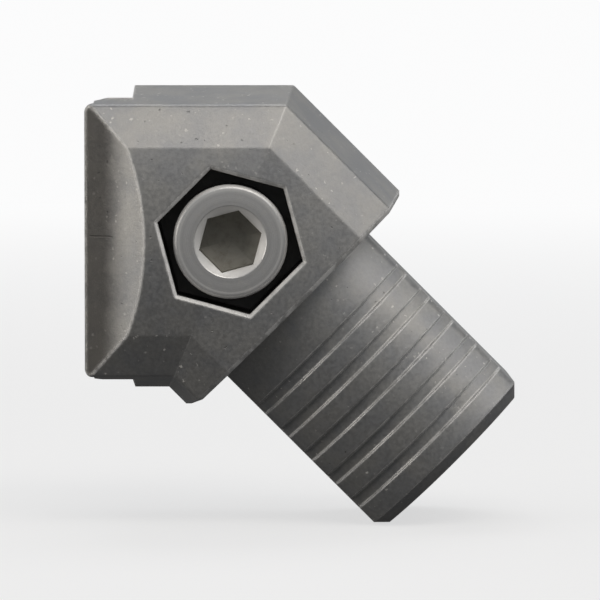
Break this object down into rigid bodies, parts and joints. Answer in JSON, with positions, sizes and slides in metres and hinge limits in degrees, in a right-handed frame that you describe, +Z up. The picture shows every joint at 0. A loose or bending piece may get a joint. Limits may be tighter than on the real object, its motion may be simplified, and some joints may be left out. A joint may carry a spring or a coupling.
{
  "type": "forty-five degree tube connector",
  "caption": "Die-cast clamp connector that joins the end of one grooved round tube to the side of another at forty-five degrees.",
  "frame": {"origin": "in the middle of the saddle's bed, where the rib of the upright tube seats, level with the clamp screw and in the parting plane of the two halves", "axes": "+Z up along the upright tube; +X from the upright tube towards the bend, with the branch tube leaving towards +X and -Z; +Y from the screw head towards the nut"},
  "size_m": [0.0387, 0.0286, 0.0396],
  "materials": {
    "shell_casting": "tumbled die casting, matt, with bright worn edges",
    "screw_steel": "plain satin steel",
    "nut_steel": "zinc plated steel"
  },
  "bodies": {
    "root": {"screw_side_shell": "shell_casting", "nut_side_shell": "shell_casting", "clamp_screw": "screw_steel", "hex_nut": "nut_steel"}
  },
  "joints": []
}
